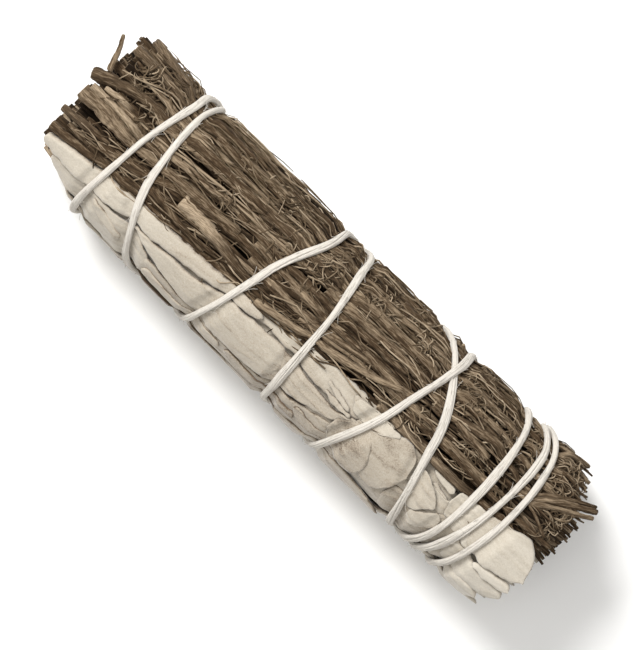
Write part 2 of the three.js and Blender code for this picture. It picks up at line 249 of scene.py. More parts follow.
def stems_mesh(name, stems, outline, lumps=0.0):
    """One mesh of stems, each swept along its points. A stem is (points, radii, shade, bare):
    points in metres, radii in millimetres, shade its random shade, which for many stems also
    holds painted shade, darker the deeper they lie, and bare 1 where its bark is gone. The grain
    attribute runs along each stem, so that the bark's pattern follows it, and lumps is how rough
    its outline is, as a share of its radius."""
    curve = bpy.data.curves.new(name, "CURVE")
    curve.dimensions = "3D"
    curve.bevel_mode = "OBJECT"
    curve.bevel_object = outline
    rng = np.random.default_rng(len(stems))
    sides = len(outline.data.splines[0].points)
    turn = np.linspace(0, 2 * math.pi, sides, endpoint=False)
    grain, tone_and_shade, bare, bark = [], [], [], []
    for points, radii, shade, stripped in stems:
        spline = curve.splines.new("POLY")
        spline.points.add(len(points) - 1)
        rows = np.c_[points, np.ones(len(points))]
        spline.points.foreach_set("co", rows.astype(np.float32).ravel())
        spline.points.foreach_set("radius", (radii * MM).astype(np.float32))
        twist = rng.random() * 6 + np.linspace(0, rng.normal(), len(points))
        spline.points.foreach_set("tilt", twist.astype(np.float32))
        along = distance_along(points) / MM + 50 * rng.random()
        r = np.mean(radii)
        ring = np.stack(
            [
                np.repeat(along, sides),
                np.tile(r * np.cos(turn), len(points)) + 40 * rng.random(),
                np.tile(r * np.sin(turn), len(points)),
            ],
            axis=-1,
        )
        grain.append(ring)
        tone_and_shade.append(np.full(len(ring), shade))
        bare.append(np.repeat(stripped * np.ones(len(points)), sides))
        a, b = ring[:, 0], np.tile(turn, len(points))
        bark.append(
            np.sin(1.1 * a + 2 * b) + np.sin(2.3 * a - 3 * b + 1) + np.sin(3.9 * a + b + 2)
            + 0.7 * np.sin(0.4 * a + 5 * b) + 0.6 * np.sin(5.3 * a - 4 * b)
        )
    holder = bpy.data.objects.new(name, curve)
    bpy.context.collection.objects.link(holder)
    bpy.context.view_layer.update()
    seen = holder.evaluated_get(bpy.context.evaluated_depsgraph_get())
    mesh = bpy.data.meshes.new_from_object(seen)
    bpy.data.objects.remove(holder)
    bpy.data.curves.remove(curve)
    for label, kind, rows in (
        ("grain", "FLOAT_VECTOR", np.concatenate(grain)),
        ("tone_and_shade", "FLOAT", np.concatenate(tone_and_shade)),
        ("bare", "FLOAT", np.concatenate(bare)),
    ):
        layer = mesh.attributes.new(label, kind, "POINT")
        layer.data.foreach_set(
            "vector" if kind == "FLOAT_VECTOR" else "value",
            rows.astype(np.float32).ravel(),
        )
    place = np.empty(3 * len(mesh.vertices), np.float32)
    mesh.vertices.foreach_get("co", place)
    centres = np.concatenate([np.repeat(points, sides, axis=0) for points, *_ in stems])
    swollen = 1 + lumps * np.concatenate(bark)[:, None]
    place = centres + (place.reshape(-1, 3) - centres) * swollen
    mesh.vertices.foreach_set("co", place.astype(np.float32).ravel())
    bm = bmesh.new()
    bm.from_mesh(mesh)
    edges = [edge for edge in bm.edges if edge.is_boundary]
    cut_faces = bmesh.ops.holes_fill(bm, edges=edges)["faces"]
    bmesh.ops.recalc_face_normals(bm, faces=bm.faces)
    if sides > 8:
        bmesh.ops.inset_individual(bm, faces=cut_faces, thickness=0.13 * MM, depth=0.05 * MM)
        stripped = bm.verts.layers.float["bare"]
        for face in cut_faces:
            for vertex in face.verts:
                vertex[stripped] = 0.9
    bm.to_mesh(mesh)
    bm.free()
    mesh.shade_smooth()
    return mesh


WOODY_RING = ring_outline("woody_ring", 12, 0.09, 3)
TWIG_RING = ring_outline("twig_ring", 7, 0.06, 4)
FIBRE_RING = ring_outline("fibre_ring", 4, 0.0, 5)


def stem(rng, x, angle, depth, radius, soft, knobs=0.09, tone_and_shade=None, bare=0.0):
    """A stem along arrays of X, angle and depth, with small knobs where twigs left it. Its
    two ends are rounded off a little, as a cut or broken end is. Unless given a shade, a
    buried stem gets painted shade: its colour is darker the deeper it lies in the bunch."""
    s = np.linspace(0, 1, len(x))
    length = abs(x[-1] - x[0]) + 1
    radii = radius * (1 + wander(s * length / 9, rng, knobs, 4))
    radii[0] *= 0.86
    radii[-1] *= 0.8
    points = lay(x, angle, depth + wander(s * length / 7, rng, 0.07, 3), soft, radius)
    buried = np.mean(depth - radius)
    # Painted shade: the deeper a stem lies, the darker its colour, on top of a random shade of its
    # own.
    shade = rng.normal(0, 0.6) - 0.9 * np.clip(buried - 0.3, 0, 1.6) if tone_and_shade is None else tone_and_shade
    return points, np.maximum(radii, 0.03), shade, bare


def dry_fibre_group():
    """Long streaks and fine grooves that run along a piece, for bark, leaf and cotton."""
    group = bpy.data.node_groups.new("dry_fibre", "ShaderNodeTree")
    face = group.interface
    face.new_socket("Place", in_out="INPUT", socket_type="NodeSocketVector")
    face.new_socket("Along", in_out="INPUT", socket_type="NodeSocketFloat")
    face.new_socket("Across", in_out="INPUT", socket_type="NodeSocketFloat")
    face.new_socket("Streaks", in_out="OUTPUT", socket_type="NodeSocketFloat")
    face.new_socket("Grooves", in_out="OUTPUT", socket_type="NodeSocketFloat")
    nodes, links = group.nodes, group.links
    given = nodes.new("NodeGroupInput")
    out = nodes.new("NodeGroupOutput")
    stretch = nodes.new("ShaderNodeCombineXYZ")
    links.new(given.outputs["Along"], stretch.inputs["X"])
    links.new(given.outputs["Across"], stretch.inputs["Y"])
    links.new(given.outputs["Across"], stretch.inputs["Z"])
    scaled = nodes.new("ShaderNodeVectorMath")
    scaled.operation = "MULTIPLY"
    links.new(given.outputs["Place"], scaled.inputs[0])
    links.new(stretch.outputs[0], scaled.inputs[1])
    for socket, scale, detail in (("Streaks", 0.6, 3), ("Grooves", 1.7, 5)):
        pattern = nodes.new("ShaderNodeTexNoise")
        pattern.inputs["Scale"].default_value = scale
        pattern.inputs["Detail"].default_value = detail
        pattern.inputs["Roughness"].default_value = 0.6
        links.new(scaled.outputs[0], pattern.inputs["Vector"])
        links.new(pattern.outputs["Fac"], out.inputs[socket])
    return group


DRY_FIBRE = dry_fibre_group()


def attribute(nodes, label):
    node = nodes.new("ShaderNodeAttribute")
    node.attribute_name = label
    return node


def colour_ramp(nodes, stops):
    ramp = nodes.new("ShaderNodeValToRGB")
    while len(ramp.color_ramp.elements) < len(stops):
        ramp.color_ramp.elements.new(0.5)
    for element, (at, colour) in zip(ramp.color_ramp.elements, stops):
        element.position = at
        element.color = (*colour, 1)
    return ramp


def uneven_roughness(nodes, links, pattern, low, high):
    """Roughness that goes from low to high with a pattern."""
    spread = nodes.new("ShaderNodeMapRange")
    spread.inputs["From Min"].default_value = 0.3
    spread.inputs["From Max"].default_value = 0.7
    spread.inputs["To Min"].default_value = low
    spread.inputs["To Max"].default_value = high
    links.new(pattern, spread.inputs["Value"])
    links.new(spread.outputs["Result"], nodes["Principled BSDF"].inputs["Roughness"])


def scaled_sum(nodes, links, value, factor, addend):
    """value x factor + addend, each of them a number or another node's output."""
    node = nodes.new("ShaderNodeMath")
    node.operation = "MULTIPLY_ADD"
    for socket, given in zip(node.inputs, (value, factor, addend)):
        if isinstance(given, float):
            socket.default_value = given
        else:
            links.new(given, socket)
    return node.outputs[0]


def bumps(nodes, links, pattern, strength, height):
    """A surface that rises and falls with a pattern, by a height in metres."""
    bump = nodes.new("ShaderNodeBump")
    bump.inputs["Strength"].default_value = strength
    bump.inputs["Distance"].default_value = height
    links.new(pattern, bump.inputs["Height"])
    links.new(bump.outputs["Normal"], nodes["Principled BSDF"].inputs["Normal"])


def fibre_finish(name, along, across, specular):
    """A new finish, and the fibre pattern's outputs, laid along the grain of its piece."""
    finish = bpy.data.materials.new(name)
    finish.use_nodes = True
    nodes, links = finish.node_tree.nodes, finish.node_tree.links
    nodes["Principled BSDF"].inputs["Specular IOR Level"].default_value = specular
    fibre = nodes.new("ShaderNodeGroup")
    fibre.node_tree = DRY_FIBRE
    links.new(attribute(nodes, "grain").outputs["Vector"], fibre.inputs["Place"])
    fibre.inputs["Along"].default_value = along
    fibre.inputs["Across"].default_value = across
    return finish, nodes, links, fibre.outputs


def bark_finish(name, stops, bump_mm):
    """Dry bark in its own shades and in painted shade where a stem lies buried, tan wood where it
    is stripped or cut, and fine grooves.
    """
    finish, nodes, links, fibre = fibre_finish(name, 0.5, 4.0, 0.12)
    uneven_roughness(nodes, links, fibre["Streaks"], 0.78, 0.98)
    bumps(nodes, links, fibre["Grooves"], 1, bump_mm * MM)
    mixed = scaled_sum(nodes, links, fibre["Streaks"], 1.0, fibre["Grooves"])
    calmed = scaled_sum(nodes, links, mixed, 0.41, 0.1)
    own_tone_and_painted_shade = attribute(nodes, "tone_and_shade").outputs["Fac"]
    ramp = colour_ramp(nodes, stops)
    links.new(scaled_sum(nodes, links, own_tone_and_painted_shade, 0.12, calmed), ramp.inputs["Fac"])
    wood = colour_ramp(nodes, [(0.3, (0.13, 0.09, 0.05)), (0.6, (0.46, 0.36, 0.25))])
    links.new(fibre["Grooves"], wood.inputs["Fac"])
    peeled = nodes.new("ShaderNodeMix")
    peeled.data_type = "RGBA"
    links.new(attribute(nodes, "bare").outputs["Fac"], peeled.inputs["Factor"])
    links.new(ramp.outputs["Color"], peeled.inputs["A"])
    links.new(wood.outputs["Color"], peeled.inputs["B"])
    links.new(peeled.outputs["Result"], nodes["Principled BSDF"].inputs["Base Color"])
    return finish


# The darkest stops are reached by buried stems, whose colour holds painted shade.
BARK = bark_finish(
    "dry_bark",
    [(0.33, (0.009, 0.005, 0.002)), (0.49, (0.065, 0.041, 0.022)), (0.66, (0.31, 0.235, 0.155))],
    0.2,
)
SHRED = bark_finish(
    "dry_shred",
    [(0.33, (0.025, 0.015, 0.007)), (0.5, (0.12, 0.084, 0.05)), (0.66, (0.37, 0.29, 0.2))],
    0.05,
)


FURTHEST_OUT, HIGHEST = 14.7 * MM, 24.3 * MM  # of any stray twig or leaf, in Y and Z


def put_together(name, meshes, finishes, node):
    """One object of several meshes, each with its own finish, that stands for a CAD node.
    Nothing of it goes through the table, or stands out far beyond the bunch."""
    parts = []
    for mesh, finish in zip(meshes, finishes):
        mesh.materials.clear()
        mesh.materials.append(finish)
        part = bpy.data.objects.new(name, mesh)
        bpy.context.collection.objects.link(part)
        parts.append(part)
    piece = parts[0]
    with bpy.context.temp_override(
        active_object=piece, object=piece, selected_editable_objects=parts
    ):
        bpy.ops.object.join()
    place = np.empty(3 * len(piece.data.vertices), np.float32)
    piece.data.vertices.foreach_get("co", place)
    place = place.reshape(-1, 3)
    place[:, 1] = np.minimum(place[:, 1], FURTHEST_OUT)
    place[:, 2] = np.clip(place[:, 2], 0, HIGHEST)
    piece.data.vertices.foreach_set("co", place.ravel())
    piece.name = piece.data.name = name
    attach(piece, "root")
    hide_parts(node)
    return piece


def spread_stems(rng, herb, count, i, how_many, starts, ends, radii, depths, soft,
                 slant=0.0, step=1.7):
    """Stems side by side across a sprig, each with its own length and slight wander."""
    stems = []
    for k in range(how_many):
        start = rng.uniform(*starts)
        x = np.arange(start, max(rng.uniform(*ends), start + 12), step)
        s = np.linspace(0, 1, len(x))
        share = (2 * (k + rng.uniform(0.2, 0.8)) / how_many - 1) * 0.97
        share = share + wander(s * len(x) * step / 50, rng, 0.10, 3)
        share = share + rng.normal(0, slant) * (s - 0.5) * len(x) * step / 30
        share = np.clip(share, -1.25, 1.25)
        radius = rng.uniform(*radii) * (1 - 0.3 * s)
        depth = np.maximum(rng.uniform(*depths) + wander(s * 2, rng, 0.15, 2), 0) + radius
        angle = across_sprig(herb, count, i, x, share)
        stems.append(stem(rng, x, angle, depth, radius, soft))
    return stems


def fill_cut_end(rng, herb, count, i, stems, tries, radii, depths, bare=0.0):
    """Adds short stems to a sprig wherever there is room between the others at the cut end."""
    taken = [(*points[0][1:], widths[0] * MM) for points, widths, *_ in stems]
    for _ in range(tries):
        radius = rng.uniform(*radii)
        x = np.linspace(CUT_END + rng.uniform(1.8, 7), CUT_END + 18, 6)
        angle = across_sprig(herb, count, i, x, rng.uniform(-1, 1))
        depth = depths[0] + (depths[1] - depths[0]) * (1 - math.sqrt(rng.random())) + radius
        laid = stem(rng, x, angle, depth, radius, 0, tone_and_shade=rng.normal(-0.3, 0.6), bare=bare)
        y, z = laid[0][0][1:]
        if all(math.hypot(y - a, z - b) > 0.9 * (r + radius * MM) for a, b, r in taken):
            taken.append((y, z, radius * MM))
            stems.append(laid)


def herb_end(angle):
    """X where the dark herb's tips end, which is earlier at its outer side."""
    return TIP_END - 4.2 * ease(skin(angle)[0], 9, 14)


def end_twigs(rng, herb, count, i, how_many, depths, reach):
    """The fine ragged twigs that a woody sprig ends in."""
    twigs = []
    for _ in range(how_many):
        s = np.linspace(0, 1, 10)
        share = rng.uniform(-0.95, 0.95) + rng.normal(0, 0.2) * s**2
        end = herb_end(across_sprig(herb, count, i, TIP_END, share[0])) - rng.uniform(*reach)
        x = end - rng.uniform(7, 12) * (1 - s)
        radius = rng.uniform(0.18, 0.5) * (1 - 0.35 * s)
        depth = np.maximum(rng.uniform(*depths) + rng.normal(0, 0.8) * s**2, 0.1) + radius
        angle = across_sprig(herb, count, i, x, share)
        shade = rng.normal(-0.1, 0.6)
        twigs.append(stem(rng, x, angle, depth, radius, 0.3, knobs=0.16, tone_and_shade=shade))
    return twigs


for i in range(DARK_INNER):
    rng = np.random.default_rng(200 + i)
    inside = spread_stems(
        rng, "dark", DARK_INNER, i, 15, (-50.8, -45), (40, 48), (0.55, 1.3), (6.1, 8.8), 0
    )
    fill_cut_end(rng, "dark", DARK_INNER, i, inside, 260, (0.3, 1.1), (6.2, 11))
    tips = end_twigs(rng, "dark", DARK_INNER, i, 60, (6.3, 11.5), (0.6, 5))
    put_together(
        f"inner_woody_sprig_{i + 1}",
        [
            stems_mesh(f"inner_stems_{i + 1}", inside, WOODY_RING, 0.03),
            stems_mesh(f"inner_tips_{i + 1}", tips, TWIG_RING, 0.05),
        ],
        [BARK, BARK],
        f"dark_inner_sprig_{i + 1}",
    )

# The woody herb's outer sprigs: stout stems under a skin of long twigs, fine bark fibres and
# many small dry leaves, curled up to threads. The string holds them down where it crosses.
# The stems that show from above follow the photograph, as (X, Y) points seen from there.
turns_round = np.radians(np.linspace(-130, 310, 4401))
skin_length = distance_along(np.stack(skin(turns_round), axis=-1))
skin_length -= np.interp(math.radians(90), turns_round, skin_length)


def round_skin(w):
    """The angle at w millimetres round the skin from its top line, towards the sage."""
    return np.interp(w, skin_length, turns_round)


def seen_from_above(y):
    """w of a point of the skin that is seen from above at y."""
    share = np.clip(np.abs(y) / HALF_WIDTH, 0, 1) ** (SQUARENESS / 2)
    return np.interp(np.arccos(np.sign(y) * share), turns_round, skin_length)


def through(points, steps):
    """A smooth curve through a few points, cut into equal steps."""
    points = np.array(points, float)
    ends = np.concatenate([[2 * points[0] - points[1]], points, [2 * points[-1] - points[-2]]])
    t = np.linspace(0, len(points) - 1, steps)
    i = np.minimum(t.astype(int), len(points) - 2)
    return smooth(*(ends[i + k] for k in range(4)), (t - i)[:, None])


# Each stem seen: its sprig, its points, its width at both ends, its depth, and how bare it is.
SEEN_STEMS = [
    (4, [(-47.8, 14.3), (-41.6, 13.3), (-35.6, 12.3), (-24, 12.0)], 1.9, 1.5, -0.2, 0.15),
    (4, [(-49.4, 11.6), (-40.6, 11.2), (-35.9, 10.9), (-20, 10.4)], 1.7, 1.5, 0.2, 0.1),
    (5, [(-49.9, 5.7), (-51.2, 9.1), (-52.3, 10.9)], 0.8, 0.55, -0.2, 0.0),
    (5, [(-51.6, 3.8), (-48.4, 5.2), (-43.7, 6.5), (-39.3, 7.0), (-25, 7.5), (-17, 7.5)],
     2.0, 1.5, -0.2, 0.05),
    (5, [(-48.5, 3.6), (-45, 3.9), (-41, 3.6)], 1.0, 0.8, 0.3, 0.9),
    (5, [(-50.2, 2.4), (-45, 2.5), (-39.3, 2.0), (-33, 2.2)], 1.4, 1.1, 0.2, 0.75),
    (6, [(-50.8, 0.9), (-45, 0.7), (-40, 0.3), (-30, 1.2), (-18, 2.0)], 2.9, 1.6, 0.0, 0.12),
    (6, [(-51.2, -3.6), (-47, -3.2), (-42, -2.6)], 1.3, 0.9, 0.2, 0.1),
    (6, [(-50.6, -7.6), (-46, -6.9), (-40, -5.9), (-33, -5.2)], 1.6, 1.0, 0.2, 0.0),
    (6, [(-43, -3.9), (-35, -2.2), (-28.5, 0.3), (-18, 1.5), (-8, 1.2)], 2.2, 1.6, 0.3, 0.0),
    (6, [(-27.6, -1.2), (-24, -1.0), (-18.7, -1.6), (-10, -3.0)], 3.1, 1.2, -0.3, 0.85),
    (6, [(-33, -3.4), (-30, -3.2), (-27, -3.6), (-20, -4.2)], 2.0, 1.0, 0.0, 0.0),
    (6, [(-8.8, -3.9), (0.8, -2.1), (7.3, -0.8), (13.8, 1.0), (19.5, 3.4)], 1.4, 1.1, -0.5, 0.1),
    (5, [(-18, 7.9), (-9, 7.8), (0, 7.4), (12, 7.9), (20, 8.2)], 1.5, 1.4, 0.0, 0.05),
    (5, [(1, 8.4), (9, 8.2), (19, 8.3), (27, 9.0)], 1.5, 1.2, -0.2, 0.05),
    (5, [(-2, 5.4), (13, 6.1), (22, 5.7), (34, 4.2)], 1.5, 1.2, 0.0, 0.0),
    (6, [(-20, 4.1), (-5, 3.9), (8, 4.4), (16, 4.9)], 1.3, 1.0, 0.1, 0.0),
    (6, [(-15, 2.8), (-2, 2.2), (11, 2.4), (24, 1.6), (38, 1.2)], 1.5, 1.3, 0.1, 0.0),
    (6, [(-14, 0.3), (-4, -0.3), (4, 0.6), (14, 2.9)], 1.3, 1.0, 0.2, 0.0),
    (5, [(22.1, 4.4), (29.6, 6.0), (34.3, 6.7), (40, 5.2), (48.8, 1.4)], 1.7, 0.6, -0.2, 0.05),
    (6, [(16, -1.9), (24, -2.3), (34, -2.2), (44, -1.2)], 1.8, 1.2, 0.2, 0.3),
    (6, [(20, 0.2), (30, 0.6), (40, 0.4), (50.6, 0.9)], 1.2, 0.9, 0.1, 0.0),
    (4, [(19.0, 14.0), (20.6, 14.2), (22.3, 14.3)], 0.8, 0.9, -0.9, 0.1),
    (4, [(-30, 13.0), (-22, 13.3), (-12, 13.1), (-2, 13.2)], 1.5, 1.2, 0.0, 0.1),
    (4, [(-26, 11.2), (-15, 11.5), (-5, 11.0), (6, 11.2)], 1.3, 1.2, 0.1, 0.0),
    (4, [(8, 12.3), (18, 12.2), (30, 12.6), (42, 12.2)], 1.2, 1.1, 0.1, 0.0),
    (4, [(2, 10.2), (14, 10.9), (28, 10.6), (44, 10.8)], 1.3, 1.0, 0.1, 0.0),
    (5, [(24, 8.2), (33, 8.8), (44, 7.8), (50, 7.4)], 1.2, 0.9, 0.2, 0.0),
    (5, [(40, 4.4), (43.2, 4.9), (48, 7.9), (52.0, 10.3)], 1.2, 1.0, -0.3, 0.15),
    (5, [(41, 3.9), (44, 4.4), (48.6, 7.1), (52.2, 9.2)], 0.9, 0.8, -0.1, 0.1),
    (5, [(40, 5.2), (43, 5.7), (47.6, 8.7), (51.4, 11.0)], 0.8, 0.6, 0.0, 0.1),
    (4, [(41, 13.0), (44, 13.8), (46.3, 14.2)], 0.9, 0.7, -0.4, 0.1),
]
# Where the dry leaves gather in clumps, as X, Y, how many and how far they spread.
CURL_CLUMPS = [
    (-46, 9.2, 30, 2.6), (-41, 4.6, 14, 2.0), (-36, 5.2, 10, 2.2), (-24, 5.0, 18, 2.6),
    (-16.5, 10.8, 34, 3.0), (-12, 5.2, 20, 2.2), (-5.6, 9.8, 46, 2.6), (-5.5, 5.0, 22, 1.8),
    (1.5, 10.2, 30, 2.2), (5.5, 10.0, 40, 2.0), (12, 12.2, 34, 3.0), (14, 9.6, 22, 2.6),
    (22, 11.5, 34, 3.2), (26, 8.6, 20, 2.6), (33, 9.6, 26, 2.6), (36, 12.2, 26, 2.4),
    (30, 3.0, 16, 2.6), (43, 9.2, 30, 2.4), (48, 4.4, 34, 2.6), (47.5, 12, 30, 2.4),
    (-5.2, -5.4, 7, 0.9), (20, 1.6, 10, 2.6), (-15, 13.6, 12, 1.4), (-8, 13.7, 9, 1.2),
    (-3.4, 13.7, 12, 1.2), (10, 13.8, 8, 1.6), (24, 13.8, 8, 1.4),
]


def curl(rng, x, w, length, turn, depth):
    """A dry leaf curled to a thread: it starts in the sprig, rises and curls round."""
    s = np.linspace(0, 1, 8)
    heading = rng.normal(0, 0.75) + turn * s + wander(s, rng, 0.5, 2)
    step = length / (len(s) - 1)
    x = x + np.cumsum(np.cos(heading)) * step
    first, last = CUT_END + 3.5, herb_end(round_skin(w)) - 2.6
    x = last - np.abs(last - x)
    x = first + np.abs(x - first)
    w = w + np.cumsum(np.sin(heading)) * step
    lifted = depth + 0.9 * np.abs(2 * s - 1.1) ** 1.5
    radius = rng.uniform(0.09, 0.17) * (1 - 0.5 * s)
    return stem(rng, x, round_skin(w), lifted, radius, 0.5, knobs=0.03)


for i in range(DARK_OUTER):
    rng = np.random.default_rng(100 + i)
    sprig = ("dark", DARK_OUTER, i)
    thick = spread_stems(rng, *sprig, 7, (-50.5, -45), (42, 48), (0.7, 1.2), (2.5, 3.8), 0.2)
    fill_cut_end(rng, *sprig, thick, 160, (0.3, 1.0), (1.4, 5.8))
    thick += spread_stems(
        rng, *sprig, 7, (-50.5, -36), (0, 47), (0.42, 0.75), (0.4, 1.1), 0.25, 0.05, 0.9
    )
    thick += spread_stems(
        rng, *sprig, 5, (-30, 10), (20, 49), (0.4, 0.62), (0.4, 1.3), 0.3, 0.1, 0.9
    )
    thin = spread_stems(
        rng, *sprig, 13, (-48.5, 0), (-20, 47), (0.2, 0.38), (0.3, 1.2), 0.4, 0.14, 1.5
    )
    thin += spread_stems(
        rng, *sprig, 11, (-46, 30), (0, 47), (0.15, 0.3), (0.1, 0.9), 0.45, 0.2, 1.5
    )
    thin += end_twigs(rng, *sprig, 60, (0.4, 5.6), (0.5, 6))
    for sprig_number, points, wide, narrow, depth, bare in SEEN_STEMS:
        if sprig_number == i + 1:
            length = np.ptp([x for x, _ in points]) + np.ptp([y for _, y in points])
            path = through(points, int(length / 0.7) + 4)
            s = np.linspace(0, 1, len(path))
            radius = (wide + (narrow - wide) * s) / 2
            angle = round_skin(seen_from_above(path[:, 1]))
            shade = rng.uniform(-0.4, 0.6)
            laid = stem(rng, path[:, 0], angle, depth + radius, radius, 0.3, tone_and_shade=shade)
            thick.append((*laid[:3], bare * (1 - ease(s, 0.4, 0.8))))
    threads = []
    for _ in range(100):
        reach = rng.uniform(6, 22)
        x = np.linspace(0, reach, 11) + rng.uniform(-49, 47 - reach)
        s = np.linspace(0, 1, len(x))
        share = rng.uniform(-1, 1) + wander(s, rng, 0.2, 4)
        angle = across_sprig(*sprig, x, share)
        depth = rng.uniform(0.0, 0.9) + wander(s, rng, 0.25, 3)
        radius = np.full(len(x), rng.uniform(0.07, 0.16))
        threads.append(stem(rng, x, angle, depth, radius, 0.5, knobs=0.03))
    for _ in range(200):
        x = rng.uniform(-48, 49)
        share = rng.uniform(-1, 1)
        w = np.interp(across_sprig(*sprig, x, share), turns_round, skin_length)
        threads.append(
            curl(rng, x, w, rng.uniform(2, 6), rng.normal(0, 1.1), rng.uniform(0.0, 0.8))
        )
    for x, y, how_many, spread in CURL_CLUMPS:
        w = seen_from_above(y)
        middle = across_sprig(*sprig, x, 0)
        reach = across_sprig(*sprig, x, 1) - middle
        if abs(round_skin(w) - middle) <= abs(reach):
            for _ in range(how_many):
                threads.append(
                    curl(
                        rng,
                        x + rng.normal(0, spread / 2),
                        w + rng.normal(0, spread / 2.6),
                        rng.uniform(1.6, 4.5),
                        rng.normal(0, 1.7),
                        rng.uniform(-0.4, 0.5),
                    )
                )
    put_together(
        f"woody_sprig_{i + 1}",
        [
            stems_mesh(f"stems_{i + 1}", thick, WOODY_RING, 0.045),
            stems_mesh(f"twigs_{i + 1}", thin, TWIG_RING, 0.06),
            stems_mesh(f"curls_{i + 1}", threads, FIBRE_RING),
        ],
        [BARK, BARK, SHRED],
        f"dark_sprig_{i + 1}",
    )

# The sage inside the bunch: two sprigs, each a cut stem wrapped in long soft leaves.
# A leaf is a sheet of faces between two long edges, which roll under, as dry sage does.
LEAF_THICK = 0.25


def leaf_mesh(upper, lower, depth, rng, rise=0.0, roll=(0.35, 0.35), crown=0.25, soft=0.42,
              crease=0.12, tucked=0.0, fineness=0.6):
    """A leaf laid on the bunch between two edges, each a few (X, w) points from its foot to
    its tip. It gets shallower by rise towards its tip, its edges roll under by the radii in
    roll, crown is how much its middle stands proud, and tucked how deep its foot goes."""
    span = np.ptp([x for x, _ in upper + lower]) + 1
    wide = max(abs(u[1] - v[1]) for u, v in zip(upper, lower)) + 1
    rows, columns = int(span / fineness) + 4, int((wide + 3) / fineness) + 4
    bm = bmesh.new()
    bmesh.ops.create_grid(bm, x_segments=rows, y_segments=columns, size=0.5)
    place = np.array([v.co for v in bm.verts])
    s, t = place[:, 0] + 0.5, place[:, 1] + 0.5
    fine = 400
    at = s * (fine - 1)
    up, down = (
        np.stack([np.interp(at, np.arange(fine), line) for line in edge.T], axis=-1)
        for edge in (through(upper, fine), through(lower, fine))
    )
    for tip, from_end in ((min(0.4, 0.3 * wide / span), 1 - s), (1 / span, s)):
        narrowed = 1 - 0.8 * np.clip(1 - from_end / tip, 0, 1)[:, None] ** 2.5
        middle = (up + down) / 2
        up, down = middle + (up - middle) * narrowed, middle + (down - middle) * narrowed
    for edge, start in ((up, rng.random() * 90), (down, rng.random() * 90)):
        edge[:, 1] += [0.3 * noise.noise(Vector((0.8 * a, start, 0))) for a in edge[:, 0]]
    reach = np.linalg.norm(up - down, axis=1)
    curl_angle = 2.6
    r_up = np.minimum(roll[0], reach * 0.3) + 1e-3
    r_down = np.minimum(roll[1], reach * 0.3) + 1e-3
    low = -r_down * (curl_angle - 1)
    high = reach + r_up * (curl_angle - 1)
    q = low + (high - low) * t
    turn_down = np.maximum(0, (r_down - q) / r_down)
    turn_up = np.maximum(0, (q - (reach - r_up)) / r_up)
    flat = np.clip(q, r_down, reach - r_up)
    q = flat - r_down * np.sin(turn_down) + r_up * np.sin(turn_up)
    sunk = r_down * (1 - np.cos(turn_down)) + r_up * (1 - np.cos(turn_up))
    share = (q / np.maximum(reach, 1e-3))[:, None]
    spot = down + (up - down) * share
    x, w = spot[:, 0], spot[:, 1]
    angle = round_skin(w)
    near = 1 - ease(gap_to_string(x, angle), 0.5, 6)
    offset = 50 * rng.random()
    wrinkles = np.array(
        [
            noise.noise(Vector((0.16 * a + offset, 0.7 * b, offset)))
            + 0.45 * noise.noise(Vector((0.5 * a, 1.6 * b + offset, offset)))
            for a, b in zip(x, w)
        ]
    )
    gathers = np.array([noise.noise(Vector((0.12 * a, 2.2 * b, offset))) for a, b in zip(x, w)])
    folds = np.array([noise.noise(Vector((0.06 * a + 7, 0.42 * b, offset))) for a, b in zip(x, w)])
    folds = np.maximum(0, 1 - 7 * np.abs(folds))
    deep = depth - rise * s - crease * wrinkles - 0.22 * near * gathers + sunk - 0.12 * folds
    deep += crown * (2 * np.clip(share[:, 0], 0, 1) - 1) ** 2
    deep += tucked * (1 - ease(s * span, 0, 5))
    points = lay(x, angle, deep, soft)
    for v, point in zip(bm.verts, points):
        v.co = point
    vein = bm.verts.layers.float_vector.new("grain")
    tone_and_shade = bm.verts.layers.float.new("tone_and_shade")
    # Painted shade: the rolled-under edges and the folds are coloured dark brown, where shade
    # falls, on top of a random shade for each leaf.
    shades = rng.normal() - 5 * ease(np.maximum(turn_down, turn_up), 0.5, 1.7) - 2 * folds
    shades += 3 * ease(x, 37, 47) - 2 * (ease(x, -34, -18) - ease(x, 14, 36))
    for v, a, b, shade in zip(bm.verts, s * span, share[:, 0], shades):
        v[vein] = (a + offset, (b - 0.5) * wide, offset)
        v[tone_and_shade] = shade
    bmesh.ops.remove_doubles(bm, verts=bm.verts, dist=0.01 * MM)
    bmesh.ops.recalc_face_normals(bm, faces=bm.faces)
    middle = Vector((0, 0, CENTRE_Z * MM))
    outward = sum(f.normal.dot(f.calc_center_median() - middle) * f.calc_area()
                  for f in bm.faces)
    if outward < 0:
        bmesh.ops.reverse_faces(bm, faces=bm.faces)
    mesh = bpy.data.meshes.new("leaf")
    bm.to_mesh(mesh)
    bm.free()
    thickened = bpy.data.objects.new("leaf", mesh)
    bpy.context.collection.objects.link(thickened)
    wall = thickened.modifiers.new("thickness", "SOLIDIFY")
    wall.thickness = LEAF_THICK * MM
    wall.offset = -1
    wall.use_even_offset = False
    bpy.context.view_layer.update()
    seen = thickened.evaluated_get(bpy.context.evaluated_depsgraph_get())
    thick_mesh = bpy.data.meshes.new_from_object(seen)
    bpy.data.objects.remove(thickened)
    bpy.data.meshes.remove(mesh)
    thick_mesh.shade_smooth()
    return thick_mesh


